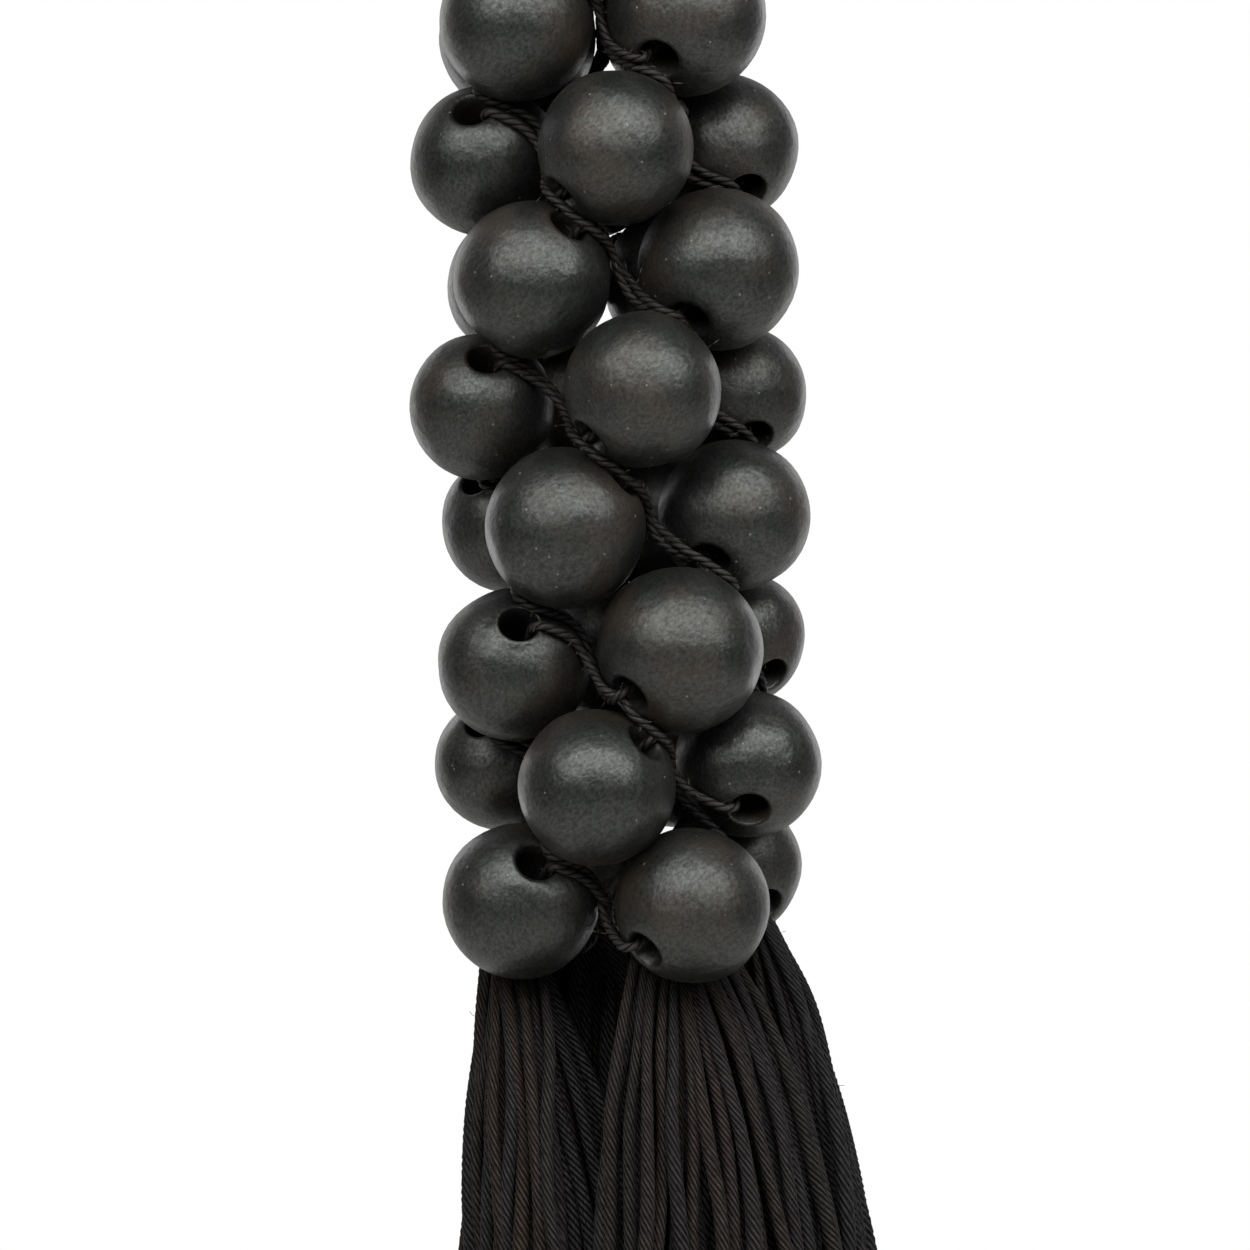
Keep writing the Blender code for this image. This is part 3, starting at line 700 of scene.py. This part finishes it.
def clear_of_beads(points, centres, radii, axes, bore_radius):
    """Move points out of the wood. A bead is a ball less its bore, so the nearest wood is the ball, the
    bore's wall or the rim between them."""
    offsets = points[:, None] - centres[None]
    distance = np.maximum(np.linalg.norm(offsets, axis=-1), 1e-6)
    along = (offsets * axes[None]).sum(axis=-1)
    beside = offsets - along[..., None] * axes[None]
    out = np.maximum(np.linalg.norm(beside, axis=-1), 1e-6)
    side = beside / out[..., None]
    rim_height = np.sqrt(radii ** 2 - bore_radius ** 2)
    over_mouth = out * rim_height < np.abs(along) * bore_radius
    in_bore = (out < bore_radius) & (np.abs(along) < rim_height)
    at_rim = over_mouth & ~in_bore
    rim_out = out - bore_radius
    rim_up = along - np.sign(along) * rim_height
    rim_distance = np.maximum(np.hypot(rim_out, rim_up), 1e-6)
    from_rim = side * rim_out[..., None] + axes[None] * rim_up[..., None]
    away = offsets / distance[..., None]
    away = np.where(at_rim[..., None], from_rim / rim_distance[..., None], away)
    away = np.where(in_bore[..., None], -side, away)
    gap = np.where(at_rim, rim_distance, distance - radii)
    gap = np.where(in_bore, bore_radius - out, gap)
    short = np.clip(CORD_CLEARANCE - gap, 0.0, LONGEST_MOVE)
    return points + (away * short[..., None]).sum(axis=1) * CLEARED_SHARE


def close_pairs(points, near):
    """Pairs of cord points that may press on each other."""
    offsets = points[:, None] - points[None]
    distances = np.sqrt(np.einsum("ijk,ijk->ij", offsets, offsets))
    return np.nonzero(np.triu((distances < CORD_APART + PAIR_MARGIN) & ~near, 1))


def part_cords(points, pairs):
    """Push apart points of cords that press on each other."""
    first, second = pairs
    offsets = points[first] - points[second]
    distances = np.maximum(np.linalg.norm(offsets, axis=1), 1e-6)
    shares = np.clip(CORD_APART - distances, 0.0, None) / distances * PARTED_SHARE
    pushes = offsets * shares[:, None]
    moved = points.copy()
    np.add.at(moved, first, pushes)
    np.add.at(moved, second, -pushes)
    return moved


def relax_cords(cords, beads, stage, bore_radius):
    """Move the cords through one stage, clear of the beads and of each other."""
    centres = np.array([bead.centre for bead in beads.values()])
    radii = np.array([bead.radius for bead in beads.values()])
    axes = np.array([bead.axis for bead in beads.values()])
    owner = np.concatenate([np.full(len(cord), number) for number, cord in enumerate(cords)])
    order = np.concatenate([np.arange(len(cord)) for cord in cords])
    left = np.concatenate([np.arange(len(cord))[::-1] for cord in cords])
    near = (owner[:, None] == owner[None]) & (np.abs(order[:, None] - order[None]) < OWN_NEIGHBOURS)
    ends = ((order < HELD_AT_START) | (left < HELD_AT_END))[:, None]
    points = np.concatenate(cords)
    fixed = points.copy()
    outward = points * (1.0, 1.0, 0.0)
    outward /= np.linalg.norm(outward, axis=1)[:, None]
    mouths = np.concatenate((centres + axes * radii[:, None], centres - axes * radii[:, None]))
    to_mouth = np.linalg.norm(points[:, None] - mouths[None], axis=-1).min(axis=1)
    free = np.clip(to_mouth / stage.mouth_reach - 1.0, 0.0, 1.0)[:, None]
    for step in range(stage.steps):
        if step % PAIRS_EVERY == 0:
            pairs = close_pairs(points, near)
        pulled = points + outward * stage.outward_drift * free
        pulled[1:-1] += stage.pull * ((points[:-2] + points[2:]) / 2 - points[1:-1])
        points = part_cords(np.where(ends, fixed, pulled), pairs)
        points = np.where(ends, fixed, clear_of_beads(points, centres, radii, axes, bore_radius))
    return [points[owner == number] for number in range(len(cords))]


def make_cord_routes(beads, heads, bore_radius):
    """The ways of the four stringing cords, laid stage by stage."""
    cords = [cord_guide_points(beads, heads, number) for number in range(BEADS_PER_RING)]
    for stage in CORD_STAGES:
        laid = [resampled(points, CORD_STEP) for points in cords]
        cords = relax_cords(laid, beads, stage, bore_radius)
    return cords


# Loop and whipping

def loop_points():
    """Two legs that rise from the whipping and round over at the top."""
    low = -LOOP_HEIGHT + GAP
    top = CORD_RADIUS
    points = []
    for step in range(LOOP_STEPS + 1):
        angle = math.pi * (2.0 * step / LOOP_STEPS - 1.0)
        height = (top + low) / 2 + (top - low) / 2 * math.cos(angle)
        rise = (height - low) / (top - low)
        width = LOOP_HALF_WIDTH * math.sin(angle) * math.sqrt(max(rise, 0.0)) * LOOP_FULLNESS
        leg = math.copysign(LOOP_LEG_OFFSET, angle if step not in (0, LOOP_STEPS) else step - 1)
        points.append((width + leg * (1.0 - rise), 0.0, height))
    points[0] = (points[0][0], 0.0, low - LOOP_SUNK)
    points[-1] = (points[-1][0], 0.0, low - LOOP_SUNK)
    return points


def whipping_points():
    """A helix of close turns, from the top of the binding to its foot."""
    radius = WHIPPING_RADIUS - CORD_RADIUS
    drop = WHIPPING_HEIGHT - 2 * CORD_RADIUS
    steps = WHIPPING_TURNS * WHIPPING_STEPS_PER_TURN
    points = []
    for step in range(steps + 1):
        share = step / steps
        angle = 2 * math.pi * WHIPPING_TURNS * share
        ease = share + WHIPPING_UNEVENNESS * math.sin(2 * angle)
        height = -LOOP_HEIGHT - CORD_RADIUS - drop * min(max(ease, 0.0), 1.0)
        points.append((radius * math.cos(angle), radius * math.sin(angle), height))
    return points


# Hanks

def make_head_places(beads):
    """Each hank is tied just under its bead of the last ring."""
    heads = []
    for place in range(BEADS_PER_RING):
        bead = beads[RING_COUNT - 1, place]
        angle = math.atan2(bead.outward[0], -bead.outward[1])
        drop = bead.radius + HEAD_CLEARANCE + HEAD_HALF_HEIGHT
        heads.append(Head(bead.centre - np.array((0.0, 0.0, drop)), angle, bead))
    return heads


def strand_points(head, hank, row, share, draws):
    """A strand's way: from its tie behind the bead's underside, then fanned out down the skirt."""
    around = math.radians(row.root_turn) * share
    lean = outward_at(head.angle + around) * math.copysign(1.0, row.root_share)
    squeeze = math.hypot(math.sin(around), FRONT_SQUEEZE * math.cos(around))
    leave = math.radians(hank.tilt) * abs(row.root_share) * squeeze
    leave *= draws.uniform(*STRAND_LEAVES)
    reach = head.bead.radius + BEAD_GROWTH + STRAND_OFF_BEAD
    under = lean * math.sin(leave) - np.array((0.0, 0.0, math.cos(leave)))
    tuck = outward_at(math.radians(hank.behind)) + np.array((0.0, 0.0, STRAND_RISE))
    behind = under + hank.tuck * tuck
    tie = head.bead.centre + behind * reach / np.linalg.norm(behind)
    points = []
    end_angle = math.radians((hank.start + hank.stop) / 2 + (hank.stop - hank.start) * share)
    floor = head.centre[2] - STRAND_LENGTH + draws.uniform(*STRAND_END_DROPS)
    end = outward_at(end_angle) * (row.end_radius + draws.uniform(*STRAND_END_REACHES))
    end = np.array((end[0] * SKIRT_SIDE_STRETCH + SKIRT_CENTRE, end[1], floor))
    full = 1.0 - math.exp(-1.0 / FAN_REACH)
    phases = draws.uniform(0.0, 2 * math.pi, 4)
    waver = draws.uniform(*WAVERS, 4)
    stray = draws.normal() * STRAND_STRAY
    for station in np.linspace(0.0, 1.0, STRAND_STATIONS):
        fan = (1.0 - math.exp(-station / FAN_REACH)) / full
        fan += stray * math.sin(station * math.pi)
        point = tie + (end - tie) * fan
        point[2] = tie[2] + (floor - tie[2]) * station
        free = min(station * WAVER_GROWTH, 1.0)
        drop = STRAND_LENGTH * station
        for axis, first in ((0, 0), (1, 2)):
            short_wave = waver[first] * math.sin(drop / SHORT_WAVE + phases[first])
            long_wave = waver[first + 1] * math.sin(drop / LONG_WAVE + phases[first + 1])
            point[axis] += free * (short_wave + long_wave)
        points.append(point)
    return points


def make_hank(name, head, hank, settings, draws, material):
    """Spin the strands of one hank, row by row from the inside."""
    spinner = Spinner()
    for row in STRAND_ROWS:
        count = round(row.count * (hank.stop - hank.start) / EVEN_SECTOR)
        for column in range(count):
            share = (column + draws.uniform(*STRAND_PLACES)) / count - 0.5
            route = strand_points(head, hank, row, share, draws)
            points = resampled(route, PLIED_STEP if row.plied else PLAIN_STEP)
            radius = settings.strand_width / MM / 2 * draws.uniform(*STRAND_WIDTHS)
            radii = np.full(len(points), radius)
            freed = np.clip(np.linspace(0.0, STRAND_LENGTH, len(points)) / STRAND_FREED, 0.0, 1.0)
            radii *= STRAND_PRESSED + (1.0 - STRAND_PRESSED) * np.sin(freed * math.pi / 2)
            slubs = np.arange(len(points)) / draws.uniform(*SLUB_LENGTHS) + draws.uniform(*SLUB_PHASES)
            radii *= 1.0 + STRAND_SLUB * np.sin(slubs)
            pitch = settings.yarn_pitch / MM * draws.uniform(*STRAND_PITCHES)
            twist = Twist(YARN_PLIES, pitch, YARN_PLY_DEPTH) if row.plied else None
            spinner.add(points, radii, twist, PLIED_SIDES if row.plied else PLAIN_SIDES,
                        phase=draws.uniform(0.0, 2 * math.pi), tone=draws.uniform(0.0, 1.0) ** 2)
            if row.plied:
                spinner.add_fuzz(points, radius, FUZZ_PER_STRAND, draws)
    return add_spun_piece(name, spinner, material)


# Add-on

class TasselSettings(bpy.types.PropertyGroup):
    bore_radius: bpy.props.FloatProperty(
        name="Bore radius", description="Half the width of the hole through a bead",
        default=3.1 * MM, min=1.0 * MM, max=4.0 * MM, unit="LENGTH", precision=4)
    unevenness: bpy.props.FloatProperty(
        name="Unevenness", description="How far a bead's surface wavers from a true ball",
        default=0.35 * MM, min=0.0, max=1.0 * MM, unit="LENGTH", precision=5)
    cord_width: bpy.props.FloatProperty(
        name="Cord width", description="Width of the twisted stringing cord",
        default=1.45 * MM, min=1.0 * MM, max=2.4 * MM, unit="LENGTH", precision=4)
    cord_pitch: bpy.props.FloatProperty(
        name="Cord pitch", description="Length of one full turn of the cord's plies",
        default=5.6 * MM, min=2.0 * MM, max=20.0 * MM, unit="LENGTH", precision=4)
    strand_width: bpy.props.FloatProperty(
        name="Strand width", description="Width of one strand of yarn",
        default=2.65 * MM, min=1.0 * MM, max=3.0 * MM, unit="LENGTH", precision=4)
    yarn_pitch: bpy.props.FloatProperty(
        name="Yarn pitch", description="Length of one full turn of the yarn's plies",
        default=11.0 * MM, min=4.0 * MM, max=40.0 * MM, unit="LENGTH", precision=4)
    wood_black: bpy.props.FloatVectorProperty(
        name="Wood black", description="Dyed wood where the dye is deep",
        subtype="COLOR", default=linear_colour("#0c0e0d"), min=0.0, max=1.0)
    wood_brown: bpy.props.FloatVectorProperty(
        name="Wood brown", description="Dyed wood where the dye took less",
        subtype="COLOR", default=linear_colour("#21170f"), min=0.0, max=1.0)
    wood_pale: bpy.props.FloatVectorProperty(
        name="Wood pale", description="Fine pale grain in the dyed wood",
        subtype="COLOR", default=linear_colour("#141513"), min=0.0, max=1.0)
    dust: bpy.props.FloatVectorProperty(
        name="Dust", description="Specks of dust on the beads",
        subtype="COLOR", default=linear_colour("#8a8880"), min=0.0, max=1.0)
    cord_black: bpy.props.FloatVectorProperty(
        name="Cord black", description="Waxed cord",
        subtype="COLOR", default=linear_colour("#0e0d0d"), min=0.0, max=1.0)
    # Rubbed-up fibres on the cord body; the cords' loose fibre ends take it in full, where its lightness is
    # partly painted highlight
    cord_worn_and_glint: bpy.props.FloatVectorProperty(
        name="Cord worn", description="Waxed cord where fibres have rubbed up",
        subtype="COLOR", default=linear_colour("#4a4540"), min=0.0, max=1.0)
    yarn_black: bpy.props.FloatVectorProperty(
        name="Yarn black", description="The darker strands of yarn",
        subtype="COLOR", default=linear_colour("#1d1c1d"), min=0.0, max=1.0)
    yarn_brown: bpy.props.FloatVectorProperty(
        name="Yarn brown", description="The browner strands of yarn",
        subtype="COLOR", default=linear_colour("#221d1a"), min=0.0, max=1.0)
    backdrop: bpy.props.FloatVectorProperty(
        name="Backdrop", description="Plain studio backdrop and floor",
        subtype="COLOR", default=linear_colour("#d8d8d6"), min=0.0, max=1.0)


def finish_piece(piece, slot, *nodes):
    """The piece rides with the tassel and stands for its CAD nodes."""
    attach(piece, "root")
    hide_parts(*nodes)


class TASSEL_OT_beads(bpy.types.Operator):
    """Model one bead, and set an uneven copy of it at each place"""
    bl_idname = "tassel.beads"
    bl_label = "Beads"

    def execute(self, context):
        settings = context.scene.tassel_settings
        wood = make_dyed_wood(settings)
        draws = np.random.default_rng(BEAD_SEED)
        master = model_master_bead(settings.bore_radius)
        for (ring, place), bead in read_beads().items():
            node = f"bead_{ring + 1}_{place + 1}"
            piece = make_bead(f"turned_{node}", bead, master, draws, settings.unevenness / MM, wood)
            finish_piece(piece, "dyed_wood", node)
        bpy.data.objects.remove(master, do_unlink=True)
        return {"FINISHED"}


class TASSEL_OT_cords(bpy.types.Operator):
    """Spin the four stringing cords, the hanging loop and the whipping"""
    bl_idname = "tassel.cords"
    bl_label = "Cords, loop and whipping"

    def execute(self, context):
        settings = context.scene.tassel_settings
        material = make_waxed_cord(settings)
        draws = np.random.default_rng(CORD_SEED)
        beads = read_beads()
        radius = settings.cord_width / MM / 2
        twist = Twist(CORD_PLIES, settings.cord_pitch / MM, CORD_PLY_DEPTH)
        routes = make_cord_routes(beads, make_head_places(beads), settings.bore_radius / MM)
        for number, route in enumerate(routes):
            spinner = Spinner()
            points = resampled(route, STRING_SPUN_STEP)
            tone = draws.uniform(*CORD_TONES)
            spinner.add(points, np.full(len(points), radius), twist, CORD_SIDES, tone=tone)
            spinner.add_fuzz(points, radius, FUZZ_PER_CORD, draws)
            piece = add_spun_piece(f"spun_string_{number + 1}", spinner, material)
            finish_piece(piece, "waxed_cord", f"string_{number + 1}")
        spinner = Spinner()
        points = resampled(loop_points(), LOOP_SPUN_STEP)
        spinner.add(points, np.full(len(points), radius), twist, CORD_SIDES, tone=CORD_TONE)
        finish_piece(add_spun_piece("spun_loop", spinner, material), "waxed_cord", "hanging_loop")
        spinner = Spinner()
        points = resampled(whipping_points(), LOOP_SPUN_STEP)
        bound = np.full(len(points), radius * WHIPPING_CORD_GROWTH)
        spinner.add(points, bound, twist, CORD_SIDES, tone=CORD_TONE)
        top = -LOOP_HEIGHT - CORE_INSET
        foot = -LOOP_HEIGHT - WHIPPING_HEIGHT + CORE_INSET
        core = resampled([(0.0, 0.0, top), (0.0, 0.0, foot)], CORE_STEP)
        core_radii = np.full(len(core), WHIPPING_RADIUS - CORD_RADIUS)
        spinner.add(core, core_radii, CORE_TWIST, CORD_SIDES, tone=CORD_TONE)
        finish_piece(add_spun_piece("spun_whipping", spinner, material), "waxed_cord", "whipping")
        return {"FINISHED"}


class TASSEL_OT_hanks(bpy.types.Operator):
    """Hang the four hanks of yarn under the last ring"""
    bl_idname = "tassel.hanks"
    bl_label = "Yarn hanks"

    def execute(self, context):
        settings = context.scene.tassel_settings
        material = make_cotton_yarn(settings)
        draws = np.random.default_rng(STRAND_SEED)
        for number, head in enumerate(make_head_places(read_beads())):
            hank = HANKS[number]
            piece = make_hank(f"spun_hank_{number + 1}", head, hank, settings, draws, material)
            finish_piece(piece, "cotton_yarn", f"hank_{number + 1}")
        return {"FINISHED"}


class TASSEL_OT_stage(bpy.types.Operator):
    """Set up the floor, the soft lights and the camera"""
    bl_idname = "tassel.stage"
    bl_label = "Studio"

    def execute(self, context):
        settings = context.scene.tassel_settings
        bpy.ops.object.select_all(action="DESELECT")
        bpy.ops.mesh.primitive_plane_add(size=FLOOR_SIZE, location=(0.0, 0.0, FLOOR_HEIGHT))
        floor = context.object
        floor.name = "floor"
        paper, _, shader = new_material("pale_paper", Roughness=0.8)
        shader.inputs["Base Color"].default_value = (*settings.backdrop, 1.0)
        floor.data.materials.append(paper)
        world = bpy.data.worlds.new("studio")
        context.scene.world = world
        # White to the camera, and a soft light on the tassel that comes mostly from behind
        world.use_nodes = True
        tree = world.node_tree
        background = tree.nodes["Background"]
        sky = add_node(tree, "ShaderNodeTexCoord").outputs["Generated"]
        split = add_node(tree, "ShaderNodeSeparateXYZ", {"Vector": sky})
        behind = add_node(tree, "ShaderNodeMapRange", {
            "Value": split.outputs["Y"], "From Min": -0.2, "From Max": 0.9, "To Min": 0.03, "To Max": 0.6})
        seen = add_node(tree, "ShaderNodeLightPath").outputs["Is Camera Ray"]
        bright = add_node(tree, "ShaderNodeMath", {
            0: behind.outputs["Result"], 1: seen}, operation="MAXIMUM")
        background.inputs["Color"].default_value = (1.0, 1.0, 1.0, 1.0)
        tree.links.new(bright.outputs["Value"], background.inputs["Strength"])
        for name, place, aim, size, power in LIGHTS:
            light = bpy.data.lights.new(name, "AREA")
            light.shape = "RECTANGLE"
            light.size, light.size_y = size
            light.energy = power
            lamp = bpy.data.objects.new(name, light)
            lamp.location = place
            direction = Vector(aim) - Vector(place)
            lamp.rotation_euler = direction.to_track_quat("-Z", "Y").to_euler()
            context.scene.collection.objects.link(lamp)
        camera = bpy.data.cameras.new("camera")
        camera.lens = CAMERA_LENS
        camera.sensor_width = CAMERA_SENSOR
        holder = bpy.data.objects.new("camera", camera)
        holder.location = CAMERA_PLACE
        holder.rotation_euler = (math.pi / 2, 0.0, 0.0)
        context.scene.collection.objects.link(holder)
        context.scene.camera = holder
        context.scene.view_settings.view_transform = "Standard"
        return {"FINISHED"}


class TASSEL_PT_panel(bpy.types.Panel):
    """Lists the pieces of the tassel, with the sizes and colours that can be changed"""
    bl_idname = "TASSEL_PT_panel"
    bl_label = "Bead tassel"
    bl_space_type = "VIEW_3D"
    bl_region_type = "UI"
    bl_category = "Tassel"

    def draw(self, context):
        for operator in OPERATORS:
            self.layout.operator(operator.bl_idname)
        for name in TasselSettings.__annotations__:
            self.layout.prop(context.scene.tassel_settings, name)


OPERATORS = (TASSEL_OT_beads, TASSEL_OT_cords, TASSEL_OT_hanks, TASSEL_OT_stage)
CLASSES = (TasselSettings, *OPERATORS, TASSEL_PT_panel)


def register():
    for item in CLASSES:
        bpy.utils.register_class(item)
    bpy.types.Scene.tassel_settings = bpy.props.PointerProperty(type=TasselSettings)


def unregister():
    del bpy.types.Scene.tassel_settings
    for item in reversed(CLASSES):
        bpy.utils.unregister_class(item)


def main():
    register()
    bpy.ops.tassel.beads()
    bpy.ops.tassel.cords()
    bpy.ops.tassel.hanks()
    bpy.ops.tassel.stage()


if __name__ == "__main__":
    main()
